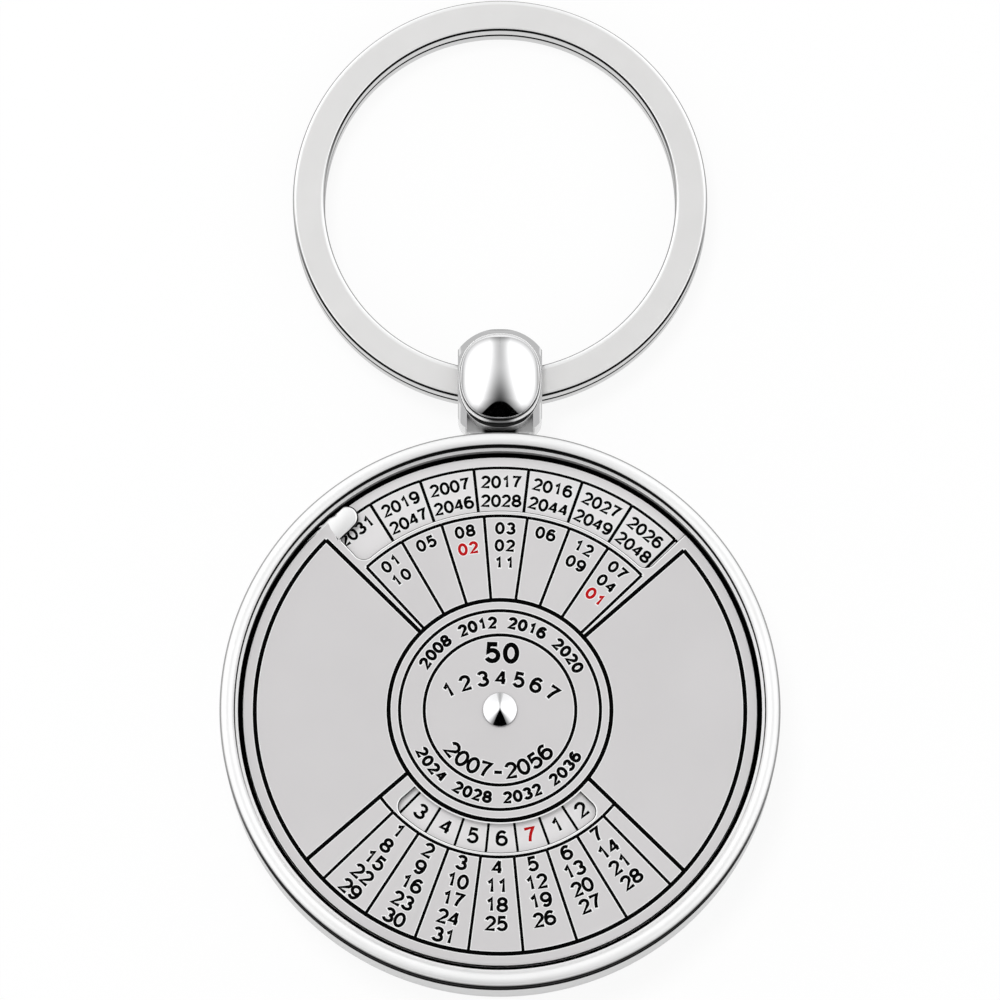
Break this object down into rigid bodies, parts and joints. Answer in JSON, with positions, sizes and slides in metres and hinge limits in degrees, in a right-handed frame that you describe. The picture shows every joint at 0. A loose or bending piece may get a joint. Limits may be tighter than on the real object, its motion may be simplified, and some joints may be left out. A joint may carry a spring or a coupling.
{
  "type": "perpetual calendar keyring",
  "caption": "Round metal fob with a turning perpetual calendar dial in a rimmed case, hung on a split key ring by a swivel link with an eye.",
  "frame": {"origin": "centre of the case's flat back, on the dial's axis", "axes": "+Z out of the dial's face, +Y from the dial towards the key ring, +X to the right of the dial as it is read"},
  "size_m": [0.04, 0.0726, 0.0073],
  "materials": {
    "case_chrome": "polished plating over a zinc casting",
    "plate_steel": "satin, printed in black and red",
    "fitting_chrome": "mirror-polished plating",
    "ring_nickel": "polished nickel plating on flat spring steel",
    "washer_brass": "plain",
    "washer_plastic": "matt film"
  },
  "bodies": {
    "case": {"case": "case_chrome", "base_disc": "plate_steel", "friction_washer": "washer_plastic", "pivot_rivet": "fitting_chrome", "rivet_washer": "washer_brass", "swivel_stud": "fitting_chrome"},
    "dial": {"dial_cover": "plate_steel"},
    "link": {"link_body": "fitting_chrome"},
    "ring": {"split_ring": "ring_nickel"}
  },
  "joints": [
    {"name": "dial_turn", "type": "hinge", "parent": "case", "child": "dial", "pos_m": [0, 0, 0.00545], "axis": [0, 0, 1], "continuous": true},
    {"name": "link_swivel", "type": "hinge", "parent": "case", "child": "link", "pos_m": [0, 0.02035, 0.00289], "axis": [0, 1, 0], "continuous": true},
    {"name": "ring_swing", "type": "hinge", "parent": "link", "child": "ring", "pos_m": [0, 0.02394, 0.00289], "axis": [1, 0, 0], "range_deg": [-120, 120]}
  ]
}
